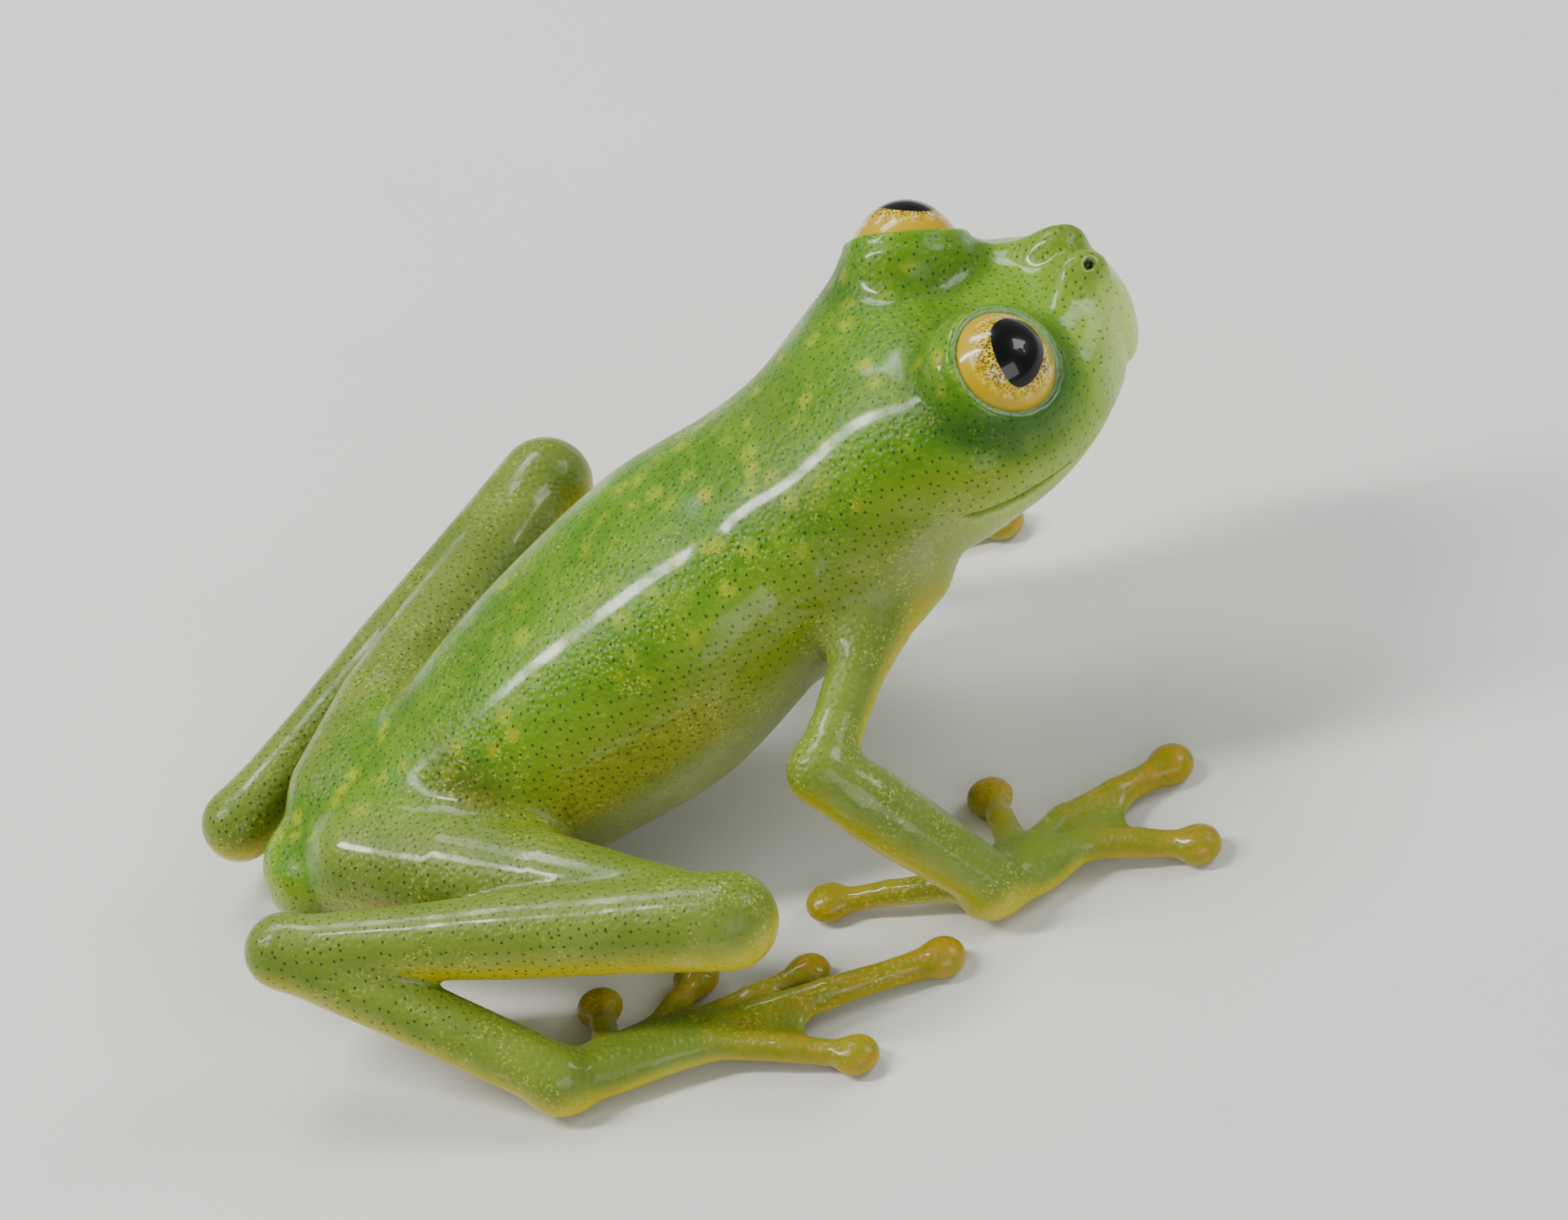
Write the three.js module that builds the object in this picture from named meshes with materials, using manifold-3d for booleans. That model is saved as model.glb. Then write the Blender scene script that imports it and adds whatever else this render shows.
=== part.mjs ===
// A glass frog at rest, life size, in millimetres.
// X points forward from the vent, Y to the frog's left, Z up from the floor.
import * as THREE from 'three';
import { mergeVertices } from 'three/addons/utils/BufferGeometryUtils.js';
import Module from 'manifold-3d';

const wasm = await Module();
wasm.setup();

const v = (x, y, z) => new THREE.Vector3(x, y, z);

// Driving sizes of the whole animal
const GAP = 0.3;             // between neighbouring pieces
const EYE_GAP = 0.12;        // between the eyeball and its socket
const WEB = 0.5;             // thickness of the webbing
const FLOOR_MIDDLE = v(10.48, -0.26, 0);   // middle of the footprint, the part's origin
const RIGHT = -1;
const LEFT = 1;

// Trunk, from vent to neck: place along X, height of the middle, half width, rise and drop
const TRUNK = [
  [0.2, 2.15, 1.45, 1.15, 1.15],
  [1.7, 2.35, 2.15, 1.75, 1.75],
  [4.2, 3.0, 2.85, 2.45, 2.7],
  [7.0, 4.05, 3.55, 2.9, 2.9],
  [10.0, 5.2, 3.95, 3.05, 3.25],
  [12.6, 6.3, 3.65, 2.6, 2.85],
  [14.6, 7.3, 3.15, 2.0, 2.5],
  [16.8, 8.3, 3.0, 1.85, 2.2],
];

// Head, in its own frame: X to the snout, Z up from the middle of the eyes
const HEAD_AT = v(18.55, 0.0, 10.95);
const HEAD_YAW = THREE.MathUtils.degToRad(8);
const HEAD_PITCH = THREE.MathUtils.degToRad(4);
const HEAD = [
  [-5.0, -4.2, 2.4, 1.7, 2.3],
  [-4.0, -3.6, 2.75, 1.9, 2.3],
  [-2.6, -2.8, 3.55, 2.25, 2.25],
  [-1.0, -2.35, 4.3, 2.2, 2.15],
  [0.6, -2.15, 4.1, 1.85, 1.95],
  [2.0, -2.0, 3.3, 1.6, 1.75],
  [3.0, -1.85, 2.4, 1.5, 1.55],
  [3.5, -1.8, 1.7, 1.3, 1.3],
];
const NECK_AT = v(-3.2, 0, -2.5);
const NECK_LEANS = v(0.9, 0, 0.42).normalize();
const MOUTH_HEIGHT = -2.75;
const MOUTH_CORNER = -2.9;
const MOUTH_GROOVE = 0.22;
const MOUTH_DEPTH = 0.35;
const LIP_HEIGHT = 0.42;
const LIP_SWELL = 0.13;
const LIPS_FULL = 0.5;       // where along X the lips and groove reach their full size
const NOSTRIL_AT = [3.15, 0.6, -0.28];
const NOSTRIL_SWELL = 0.42;
const NOSTRIL_PIT = 0.16;

// Eyes, in the head's frame
const EYE_RADIUS = 1.36;
const EYE_AT = [0.1, 2.5, -0.45];
const EYE_LOOKS = v(0.33, 0.58, 0.745).normalize();
const CORNEA_RADIUS = 1.18;
const CORNEA_LIFT = 0.27;
const LID_RADIUS = 1.67;
const LID_SET_BACK = 0.12;
const LID_REACH = 0.56;
const LID_OPENING = 1.38;
const LID_RIM = 0.17;

// Legs: joints as forward, outward and up, and the half thickness at each
const RIGHT_LEG = {
  hip: [1.7, 1.3, 3.0], knee: [8.7, 8.4, 3.4], heel: [-0.95, 3.75, 3.5], ball: [3.8, 8.4, 0.9],
};
const LEFT_LEG = {
  hip: [1.7, 1.3, 3.0], knee: [8.85, 9.0, 3.1], heel: [-0.9, 2.95, 1.9], ball: [4.4, 6.6, 0.9],
};
const LEFT_FOOT_TURN = THREE.MathUtils.degToRad(12);
const THIGH_GIRTH = [1.3, 1.45, 1.3, 1.05, 0.9];
const SHANK_GIRTH = [1.15, 1.05, 1.0, 0.85, 0.8];
const TARSUS_GIRTH = [0.85, 0.8, 0.76, 0.76, 0.76];

// Arms
const RIGHT_ARM = { shoulder: [15.2, 2.6, 6.3], elbow: [11.95, 6.4, 4.75], wrist: [14.6, 8.0, 1.15] };
const LEFT_ARM = { shoulder: [15.0, 2.6, 6.2], elbow: [11.5, 5.7, 3.9], wrist: [13.6, 7.0, 1.15] };
const UPPER_ARM_GIRTH = [1.35, 0.9, 0.66, 0.62, 0.72];
const FOREARM_GIRTH = [0.78, 0.86, 0.84, 0.76, 0.68];

// Fingers and toes: tips forward and outward of the wrist or the ball, with the knuckle's place
const FINGERS = [
  { tip: [-3.5, -2.3], knuckle: [-0.9, -1.0], girth: 0.36 },
  { tip: [0.9, -3.6], knuckle: [0.9, -1.5], girth: 0.38 },
  { tip: [5.0, -2.3], knuckle: [2.2, -1.5], girth: 0.42 },
  { tip: [4.75, 0.6], knuckle: [2.4, -0.6], girth: 0.4 },
];
const TOES = [
  { tip: [1.5, -2.3], knuckle: [1.3, -0.6], girth: 0.36 },
  { tip: [3.8, -2.0], knuckle: [2.5, -0.5], girth: 0.36 },
  { tip: [6.2, -0.7], knuckle: [3.4, -0.15], girth: 0.38 },
  { tip: [9.15, 0.5], knuckle: [3.8, 0.2], girth: 0.42 },
  { tip: [6.45, 2.45], knuckle: [3.6, 0.6], girth: 0.38 },
];
const DIGIT_HEIGHT = 0.36;     // middle of a digit above the floor
const KNUCKLE_HEIGHT = 0.62;
const DISC_WIDTH = 0.55;

const SKIN = { back: 0x5f9a1e, limb: 0x8fa83a, digit: 0xc9b23a, eye: 0xd8b43c };

// A closed three.js shape becomes a solid
function solid(geometry) {
  const bare = geometry.clone();
  bare.deleteAttribute('normal');
  bare.deleteAttribute('uv');
  const merged = mergeVertices(bare, 1e-5);
  return new wasm.Manifold(new wasm.Mesh({
    numProp: 3,
    vertProperties: new Float32Array(merged.attributes.position.array),
    triVerts: new Uint32Array(merged.index.array),
  }));
}

function largest(body) {
  const pieces = body.decompose();
  return pieces.reduce((best, piece) => (piece.volume() > best.volume() ? piece : best));
}

const join = (...bodies) => largest(bodies.flat().reduce((all, one) => all.add(one)));

const superPower = (value, power) => Math.sign(value) * Math.abs(value) ** power;

// A round-ended body through stations of { at, wide, rise, drop }, with `over` as its upward side
function loft(stations, { around, rows, over = v(0, 0, 1), round = 2, cap = 3, snub = 0.8 }) {
  const path = new THREE.CatmullRomCurve3(stations.map((s) => s.at), false, 'centripetal');
  const sizes = new THREE.CatmullRomCurve3(
    stations.map((s) => v(s.wide, s.rise, s.drop)), false, 'catmullrom', 0.5);
  const rings = [];
  const ring = (along, shrink, push) => {
    const tangent = path.getTangent(along);
    const side = over.clone().cross(tangent).normalize();
    const top = tangent.clone().cross(side);
    const size = sizes.getPoint(along);
    const centre = path.getPoint(along).addScaledVector(tangent, push * (size.x + size.y) / 2);
    rings.push({ centre, side, top, size: size.multiplyScalar(shrink) });
  };
  for (let i = cap - 1; i >= 1; i--) {
    const turn = (i / cap) * Math.PI / 2;
    ring(0, Math.cos(turn), -snub * Math.sin(turn));
  }
  for (let i = 0; i <= rows; i++) ring(i / rows, 1, 0);
  for (let i = 1; i < cap; i++) {
    const turn = (i / cap) * Math.PI / 2;
    ring(1, Math.cos(turn), snub * Math.sin(turn));
  }
  const points = [];
  for (const { centre, side, top, size } of rings) {
    for (let j = 0; j < around; j++) {
      const turn = (j / around) * 2 * Math.PI;
      const across = superPower(Math.cos(turn), 2 / round) * size.x;
      const height = superPower(Math.sin(turn), 2 / round);
      points.push(centre.clone().addScaledVector(side, across)
        .addScaledVector(top, height * (height > 0 ? size.y : size.z)));
    }
  }
  const pole = (along, sign) => {
    const size = sizes.getPoint(along);
    const push = sign * snub * (size.x + size.y) / 2;
    return path.getPoint(along).addScaledVector(path.getTangent(along), push);
  };
  const first = points.push(pole(0, -1)) - 1;
  const last = points.push(pole(1, 1)) - 1;
  const faces = [];
  for (let j = 0; j < around; j++) {
    const next = (j + 1) % around;
    faces.push(first, next, j);
    for (let i = 0; i + 1 < rings.length; i++) {
      const a = i * around + j;
      const b = i * around + next;
      faces.push(a, b, a + around, b, b + around, a + around);
    }
    const end = (rings.length - 1) * around;
    faces.push(end + j, end + next, last);
  }
  const geometry = new THREE.BufferGeometry().setFromPoints(points);
  geometry.setIndex(faces);
  return solid(geometry);
}

// The stations of a limb length between two joints, evenly set, `grow` thicker all round
function limbStations(from, to, girths, grow = 0) {
  return girths.map((girth, i) => ({
    at: from.clone().lerp(to, i / (girths.length - 1)),
    wide: girth + grow,
    rise: girth + grow,
    drop: girth + grow,
  }));
}

const bodyStations = (rows, grow = 0, share = () => 1) => rows.map(([x, z, wide, rise, drop]) => {
  const more = grow * share(x);
  return { at: v(x, 0, z), wide: wide + more, rise: rise + more, drop: drop + more };
});

function ball(centre, radius, [sx, sy, sz] = [1, 1, 1], around = 20) {
  const geometry = new THREE.SphereGeometry(radius, around, Math.round(around * 0.6));
  geometry.scale(sx, sy, sz);
  geometry.translate(centre.x, centre.y, centre.z);
  return solid(geometry);
}

function slab(low, high) {
  const geometry = new THREE.BoxGeometry(high.x - low.x, high.y - low.y, high.z - low.z);
  const middle = low.clone().add(high).multiplyScalar(0.5);
  geometry.translate(middle.x, middle.y, middle.z);
  return solid(geometry);
}

// Cut away what lies on one side of a plane through `at` with the given normal
const keepBeyond = (body, at, normal) => body.trimByPlane(normal.toArray(), normal.dot(at));
const restOnFloor = (body) => keepBeyond(body, v(0, 0, 0), v(0, 0, 1));

// Two lengths meet on the plane that halves the bend between them, with the gap between
function partAtJoint(before, after, from, joint, to) {
  const along = joint.clone().sub(from).normalize();
  const onward = to.clone().sub(joint).normalize();
  const normal = along.add(onward).normalize();
  const half = normal.clone().multiplyScalar(GAP / 2);
  return [
    keepBeyond(before, joint.clone().sub(half), normal.clone().negate()),
    keepBeyond(after, joint.clone().add(half), normal),
  ];
}

// A limb's last length ends square, a gap short of its hand or foot, which gives way to it
function partFromPaw(limb, wholePaw, girths, from, joint) {
  const along = joint.clone().sub(from).normalize();
  const back = along.clone().negate();
  const sleeve = loft(limbStations(from, joint, girths, GAP), { around: 14, rows: 8 });
  return [
    largest(keepBeyond(limb, joint.clone().addScaledVector(back, GAP), back)),
    largest(wholePaw.subtract(keepBeyond(sleeve, joint, back))),
  ];
}

// A finger or toe from its root, over the knuckle, to the disc at its tip
function digit(root, knuckle, tip, girth) {
  const reach = (from, to, share) => from.clone().lerp(to, share);
  const stations = [
    [root, girth * 1.25, girth * 1.1],
    [knuckle, girth * 1.12, girth * 1.05],
    [reach(knuckle, tip, 0.5), girth * 0.85, girth * 0.85],
    [reach(knuckle, tip, 0.78), girth * 0.92, girth * 0.85],
    [tip, DISC_WIDTH, girth],
  ].map(([at, wide, rise]) => ({ at, wide, rise, drop: rise }));
  return loft(stations, { around: 8, rows: 9, cap: 2 });
}

// Webbing between two digits: a thin plate with a hollowed free edge
function web(root, tipA, tipB, shareA, shareB) {
  const a = root.clone().lerp(tipA, shareA);
  const b = root.clone().lerp(tipB, shareB);
  const middle = a.clone().add(b).multiplyScalar(0.5).lerp(root, 0.35);
  const shape = new THREE.Shape();
  shape.moveTo(root.x, root.y);
  shape.lineTo(a.x, a.y);
  shape.quadraticCurveTo(middle.x, middle.y, b.x, b.y);
  shape.closePath();
  const plate = { depth: WEB, bevelEnabled: false, curveSegments: 4 };
  const geometry = new THREE.ExtrudeGeometry(shape, plate);
  geometry.translate(0, 0, DIGIT_HEIGHT - WEB / 2);
  return solid(geometry);
}

// A place near the floor, forward and outward of a joint, with the paw turned outward
function onFloor([forward, outward], base, side, height, turn = 0) {
  const reach = v(forward, outward, 0).applyAxisAngle(v(0, 0, 1), turn);
  return v(base.x + reach.x, base.y + side * reach.y, height);
}

// A hand or foot: digits from a common root, webs between neighbours, and a low palm
function paw(base, side, digits, webs, palms, turn = 0) {
  const root = v(base.x, base.y, Math.max(base.z * 0.75, KNUCKLE_HEIGHT));
  const tips = digits.map((d) => onFloor(d.tip, base, side, DIGIT_HEIGHT, turn));
  const knuckles = digits.map((d) => onFloor(d.knuckle, base, side, KNUCKLE_HEIGHT, turn));
  const bodies = digits.map((d, i) => digit(root, knuckles[i], tips[i], d.girth));
  for (const { between, shares } of webs) {
    const middle = knuckles[between].clone().lerp(knuckles[between + 1], 0.5);
    bodies.push(web(middle, tips[between], tips[between + 1], ...shares));
  }
  for (const { at, half } of palms) {
    bodies.push(ball(onFloor(at, base, side, half[2], turn), 1, half, 14));
  }
  return bodies;
}

const placed = ([forward, outward, up], side) => v(forward, side * outward, up);

// Head frame, as the head group is set
const headTurn = new THREE.Euler(0, HEAD_PITCH, HEAD_YAW, 'ZYX');
const headMatrix = new THREE.Matrix4().makeRotationFromEuler(headTurn).setPosition(HEAD_AT);
const headShape = { around: 26, rows: 14, round: 2.4, cap: 4, snub: 0.5 };

function makeTrunk(grow = 0) {
  const body = loft(bodyStations(TRUNK, grow), { around: 26, rows: 20, round: 2.15, cap: 4 });
  const normal = NECK_LEANS.clone().transformDirection(headMatrix).negate();
  const at = NECK_AT.clone().applyMatrix4(headMatrix).addScaledVector(normal, GAP - grow);
  return restOnFloor(keepBeyond(body, at, normal));
}

const eyeMiddle = (side) => v(EYE_AT[0], side * EYE_AT[1], EYE_AT[2]);
const eyeAxis = (side) => v(EYE_LOOKS.x, side * EYE_LOOKS.y, EYE_LOOKS.z);

// The swelling over an eyeball, open where the eye looks out, with a rolled lid round the opening
function lidAround(side) {
  const axis = eyeAxis(side);
  const rimAt = eyeMiddle(side).addScaledVector(axis, LID_REACH);
  const rim = new THREE.TorusGeometry(LID_OPENING, LID_RIM, 6, 20);
  rim.applyQuaternion(new THREE.Quaternion().setFromUnitVectors(v(0, 0, 1), axis));
  rim.translate(rimAt.x, rimAt.y, rimAt.z);
  const dome = ball(eyeMiddle(side).addScaledVector(axis, -LID_SET_BACK), LID_RADIUS, [1, 1, 1], 20);
  return keepBeyond(dome, rimAt, axis.clone().negate()).add(solid(rim));
}

// An eyeball about its own middle, looking along its Z, with the cornea swelling from it
function makeEye() {
  const round = [1, 1, 1];
  const cornea = ball(v(0, 0, CORNEA_LIFT), CORNEA_RADIUS, round, 18);
  return join(ball(v(0, 0, 0), EYE_RADIUS, round, 18), cornea);
}

function makeHead() {
  const wide = 9;
  const band = (half) => slab(
    v(MOUTH_CORNER, -wide, MOUTH_HEIGHT - half), v(wide, wide, MOUTH_HEIGHT + half));
  const fromCorner = (x) => THREE.MathUtils.smoothstep(x, MOUTH_CORNER, LIPS_FULL);
  const lips = loft(bodyStations(HEAD, LIP_SWELL, fromCorner), headShape).intersect(band(LIP_HEIGHT));
  const inside = loft(bodyStations(HEAD, -MOUTH_DEPTH, fromCorner), headShape);
  const groove = band(MOUTH_GROOVE / 2).subtract(inside);
  let head = loft(bodyStations(HEAD), headShape).add(lips).subtract(groove);
  for (const side of [RIGHT, LEFT]) {
    const nostril = v(NOSTRIL_AT[0], side * NOSTRIL_AT[1], NOSTRIL_AT[2]);
    const pit = nostril.clone().add(v(0.12, side * 0.3, 0.2));
    head = head.add(ball(nostril, NOSTRIL_SWELL, [1.4, 0.9, 1], 14))
      .subtract(ball(pit, NOSTRIL_PIT, [1.3, 1, 1], 8))
      .add(lidAround(side))
      .subtract(ball(eyeMiddle(side), EYE_RADIUS + EYE_GAP, [1, 1, 1], 20));
  }
  return largest(keepBeyond(head, NECK_AT, NECK_LEANS));
}

// The space that limbs keep clear of: trunk and head, each a gap thicker
function bodySpace() {
  const head = loft(bodyStations(HEAD, GAP), headShape).transform(headMatrix.elements);
  return makeTrunk(GAP).add(head);
}

function makeArm(joints, side, space) {
  const names = ['shoulder', 'elbow', 'wrist'];
  const [shoulder, elbow, wrist] = names.map((name) => placed(joints[name], side));
  const shape = { around: 14, rows: 10 };
  const wholeUpper = loft(limbStations(shoulder, elbow, UPPER_ARM_GIRTH), shape);
  const wholeFore = loft(limbStations(elbow, wrist, FOREARM_GIRTH), shape);
  const webs = [{ between: 2, shares: [0.55, 0.5] }];
  const palms = [
    { at: [0.9, -0.6], half: [1.25, 0.85, 0.6] },
    { at: [0, -0.2], half: [0.8, 0.7, 0.75] },
  ];
  const wristBall = ball(wrist, FOREARM_GIRTH.at(-1), [1, 1, 1], 14);
  const wholeHand = join(wristBall, paw(wrist, side, FINGERS, webs, palms));
  const [upper, bentFore] = partAtJoint(wholeUpper, wholeFore, shoulder, elbow, wrist);
  const [fore, hand] = partFromPaw(bentFore, wholeHand, FOREARM_GIRTH, elbow, wrist);
  return {
    upper_arm: largest(upper.subtract(space)),
    forearm: fore,
    hand: largest(restOnFloor(hand)),
  };
}

function makeLeg(joints, side, space, turn = 0) {
  const names = ['hip', 'knee', 'heel', 'ball'];
  const [hip, knee, heel, base] = names.map((name) => placed(joints[name], side));
  const shape = { around: 14, rows: 9 };
  const wholeThigh = loft(limbStations(hip, knee, THIGH_GIRTH), shape);
  const wholeShank = loft(limbStations(knee, heel, SHANK_GIRTH), shape);
  const wholeTarsus = loft(limbStations(heel, base, TARSUS_GIRTH), shape);
  const webs = [
    { between: 1, shares: [0.4, 0.35] },
    { between: 2, shares: [0.6, 0.45] },
    { between: 3, shares: [0.5, 0.7] },
  ];
  const soles = [
    { at: [1.6, -0.05], half: [2.1, 0.75, 0.55] },
    { at: [0.1, 0], half: [0.85, 0.75, 0.7] },
  ];
  const footBall = ball(base, TARSUS_GIRTH.at(-1), [1, 1, 1], 14);
  const wholeFoot = join(footBall, paw(base, side, TOES, webs, soles, turn));
  const [thigh, bentShank] = partAtJoint(wholeThigh, wholeShank, hip, knee, heel);
  const [shank, bentTarsus] = partAtJoint(bentShank, wholeTarsus, knee, heel, base);
  const [tarsus, foot] = partFromPaw(bentTarsus, wholeFoot, TARSUS_GIRTH, heel, base);
  return {
    thigh: largest(thigh.subtract(space)),
    shank: largest(shank.subtract(space)),
    tarsus: largest(tarsus.subtract(space)),
    foot: largest(restOnFloor(foot)),
  };
}

const frog = new THREE.Group();
frog.position.copy(FLOOR_MIDDLE).negate();

function addMesh(parent, name, body, colour, roughness = 0.35) {
  const { vertProperties, triVerts } = body.getMesh();
  const geometry = new THREE.BufferGeometry();
  geometry.setAttribute('position', new THREE.BufferAttribute(new Float32Array(vertProperties), 3));
  geometry.setIndex(new THREE.BufferAttribute(new Uint32Array(triVerts), 1));
  geometry.computeVertexNormals();
  const finish = new THREE.MeshStandardMaterial({ color: colour, roughness, metalness: 0 });
  const mesh = new THREE.Mesh(geometry, finish);
  mesh.name = name;
  parent.add(mesh);
  return mesh;
}

addMesh(frog, 'trunk', makeTrunk(), SKIN.back);

const headGroup = new THREE.Group();
headGroup.position.copy(HEAD_AT);
headGroup.rotation.copy(headTurn);
frog.add(headGroup);
addMesh(headGroup, 'head', makeHead(), SKIN.back);

const space = bodySpace();
const sides = [
  ['right', RIGHT, RIGHT_ARM, RIGHT_LEG, 0],
  ['left', LEFT, LEFT_ARM, LEFT_LEG, LEFT_FOOT_TURN],
];
for (const [name, side, arm, leg, turn] of sides) {
  const eye = addMesh(headGroup, `eye_${name}`, makeEye(), SKIN.eye, 0.1);
  eye.position.copy(eyeMiddle(side));
  eye.quaternion.setFromUnitVectors(v(0, 0, 1), eyeAxis(side));
  const limbs = { ...makeArm(arm, side, space), ...makeLeg(leg, side, space, turn) };
  for (const [piece, body] of Object.entries(limbs)) {
    const colour = piece === 'hand' || piece === 'foot' ? SKIN.digit : SKIN.limb;
    addMesh(frog, `${piece}_${name}`, body, colour);
  }
}

export default frog;
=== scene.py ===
import math

import bpy
import numpy as np
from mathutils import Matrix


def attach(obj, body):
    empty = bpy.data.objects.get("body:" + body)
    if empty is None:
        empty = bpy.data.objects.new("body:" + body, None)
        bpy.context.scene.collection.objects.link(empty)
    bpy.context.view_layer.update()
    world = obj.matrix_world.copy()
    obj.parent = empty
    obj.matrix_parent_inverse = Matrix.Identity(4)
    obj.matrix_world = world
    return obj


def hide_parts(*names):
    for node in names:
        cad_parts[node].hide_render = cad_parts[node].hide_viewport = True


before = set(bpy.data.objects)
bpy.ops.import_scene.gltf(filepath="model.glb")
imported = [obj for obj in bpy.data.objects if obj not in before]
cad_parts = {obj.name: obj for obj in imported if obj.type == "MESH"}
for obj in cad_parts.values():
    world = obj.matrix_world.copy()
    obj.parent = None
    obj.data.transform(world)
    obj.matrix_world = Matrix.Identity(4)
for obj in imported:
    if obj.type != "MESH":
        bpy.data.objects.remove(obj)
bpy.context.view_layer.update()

import openvdb
from mathutils import Matrix, Vector

# A glass frog at rest. Shapes are worked out in millimetres, X forward from the vent, Y left, Z up
MM = 0.001
FLOOR_MIDDLE = np.array([10.48, -0.26, 0.0])   # the frame's origin, seen from the vent
RIGHT, LEFT = -1, 1

# Trunk: place along X, height of the middle, half width, rise and drop
TRUNK = np.array([
    [0.2, 2.15, 1.45, 1.15, 1.15],
    [1.7, 2.35, 2.15, 1.75, 1.75],
    [4.2, 3.0, 2.85, 2.45, 2.7],
    [7.0, 4.05, 3.55, 2.9, 2.9],
    [10.0, 5.2, 3.95, 3.05, 3.25],
    [12.6, 6.3, 3.65, 2.6, 2.85],
    [14.6, 7.3, 3.15, 2.0, 2.5],
    [16.8, 8.3, 3.0, 1.85, 2.2],
])
TRUNK_ROUND = 2.15      # the power of the oval: 2 is an ellipse, more is squarer
TRUNK_SNUB = 0.8        # how long the rounded ends are, as a share of the girth
TRUNK_LOW = [-1.5, -5.2, 0.0]
TRUNK_HIGH = [21.0, 5.2, 12.0]
TRUNK_MELT = 0.3

# Head, in its own frame: X to the snout, Z up from the middle of the eyes
HEAD_AT = np.array([18.55, 0.0, 10.95])
HEAD_YAW = math.radians(8)
HEAD_PITCH = math.radians(4)
HEAD = np.array([
    [-5.0, -4.2, 2.4, 1.7, 2.3],
    [-4.0, -3.6, 2.75, 1.9, 2.3],
    [-2.6, -2.8, 3.55, 2.25, 2.25],
    [-1.0, -2.35, 4.3, 2.2, 2.15],
    [0.6, -2.15, 4.1, 1.85, 1.95],
    [2.0, -2.0, 3.3, 1.6, 1.75],
    [3.0, -1.85, 2.4, 1.5, 1.55],
    [3.5, -1.8, 1.7, 1.3, 1.3],
])
HEAD_ROUND = 2.4
HEAD_SNUB = 0.5
HEAD_REACH = np.array([9.5, 6.0, 6.0])
HEAD_MELT = 1.4
NECK_DROP = [0, 0, 3]   # how much farther down the neck reaches

# Mouth: a groove that bows a little, and fades out at its corners
MOUTH_HEIGHT = -2.75
MOUTH_CORNER = -2.9
MOUTH_FADE = 1.2
MOUTH_BOW, MOUTH_WAVE = 0.12, 0.9
MOUTH_DEPTH = 0.16
MOUTH_HALF = 0.03       # half the groove's width at the corner
MOUTH_GAIN = 0.02       # what that gains towards the snout
MOUTH_REACH = np.array([6.0, 5.6, 3.8])
MOUTH_TOP = [0, 0, 2.0]
MOUTH_MELT = 0.1

# Nostrils: bumps with a pit in each, and a low ridge from each to the eye
NOSTRIL_AT = np.array([3.15, 0.6, -0.28])
NOSTRIL_HALF = np.array([0.62, 0.36, 0.44])
NOSTRIL_MELT = 0.6
PIT_FROM_NOSTRIL = np.array([0.16, 0.24, 0.26])
PIT_HALF = (0.14, 0.11, 0.13)
PIT_REACH, PIT_MELT = 0.3, 0.06
RIDGE_END = [1.7, 1.7, -0.72]
RIDGE_DROP = [0, 0, 0.1]
RIDGE_GIRTHS = (0.34, 0.2)
RIDGE_MELT = 0.5

# Eyes, in the head's frame
EYE_RADIUS = 1.36
EYE_AT = [0.1, 2.5, -0.45]
EYE_LOOKS = np.array([0.33, 0.58, 0.745]) / np.linalg.norm([0.33, 0.58, 0.745])
CORNEA_RADIUS = 1.18
CORNEA_LIFT = 0.27
PUPIL_TILT = math.radians(45)
LID_RADIUS = 1.65
LID_SET_BACK = 0.12
LID_REACH = 0.5
LID_OPENING = 1.36
LID_RIM = 0.13
LID_SOFT = 0.4          # how far the dome's edge is rounded into the lids
LID_MELT = 0.55
RIM_MELT = 0.12
SOCKET_GAP = 0.02
SOCKET_MELT = 0.05
LID_MARGIN = 0.3
EYE_AROUND, EYE_DOWN = 96, 64
SEAM_SOFT, SEAM_IN = 0.0004, 0.01   # how softly the cornea runs into the eyeball

# Legs and arms: joints as forward, outward and up, with the half thickness along each length
LEGS = {
    RIGHT: {"hip": (1.7, 1.3, 3.0), "knee": (8.7, 8.4, 3.4), "heel": (-0.95, 3.75, 3.5),
            "ball": (3.8, 8.4, 0.9), "turn": 0.0},
    LEFT: {"hip": (1.7, 1.3, 3.0), "knee": (8.85, 9.0, 3.1), "heel": (-0.9, 2.95, 1.9),
           "ball": (4.4, 6.6, 0.9), "turn": math.radians(12)},
}
THIGH_GIRTH = [1.3, 1.45, 1.3, 1.05, 0.9]
SHANK_GIRTH = [1.15, 1.05, 1.0, 0.85, 0.8]
TARSUS_GIRTH = [0.85, 0.8, 0.76, 0.76, 0.76]
ARMS = {
    RIGHT: {"shoulder": (15.2, 2.6, 6.3), "elbow": (11.95, 6.4, 4.75), "wrist": (14.6, 8.0, 1.15)},
    LEFT: {"shoulder": (15.0, 2.6, 6.2), "elbow": (11.5, 5.7, 3.9), "wrist": (13.6, 7.0, 1.15)},
}
UPPER_ARM_GIRTH = [1.35, 0.9, 0.66, 0.62, 0.72]
FOREARM_GIRTH = [0.78, 0.86, 0.84, 0.76, 0.68]

# The lengths of each limb, from joint to joint, with the fillet at the start
ARM_LENGTHS = [("shoulder", "elbow", UPPER_ARM_GIRTH, 0.8), ("elbow", "wrist", FOREARM_GIRTH, 0.25)]
LEG_LENGTHS = [("hip", "knee", THIGH_GIRTH, 0.8), ("knee", "heel", SHANK_GIRTH, 0.16),
               ("heel", "ball", TARSUS_GIRTH, 0.3)]

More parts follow.
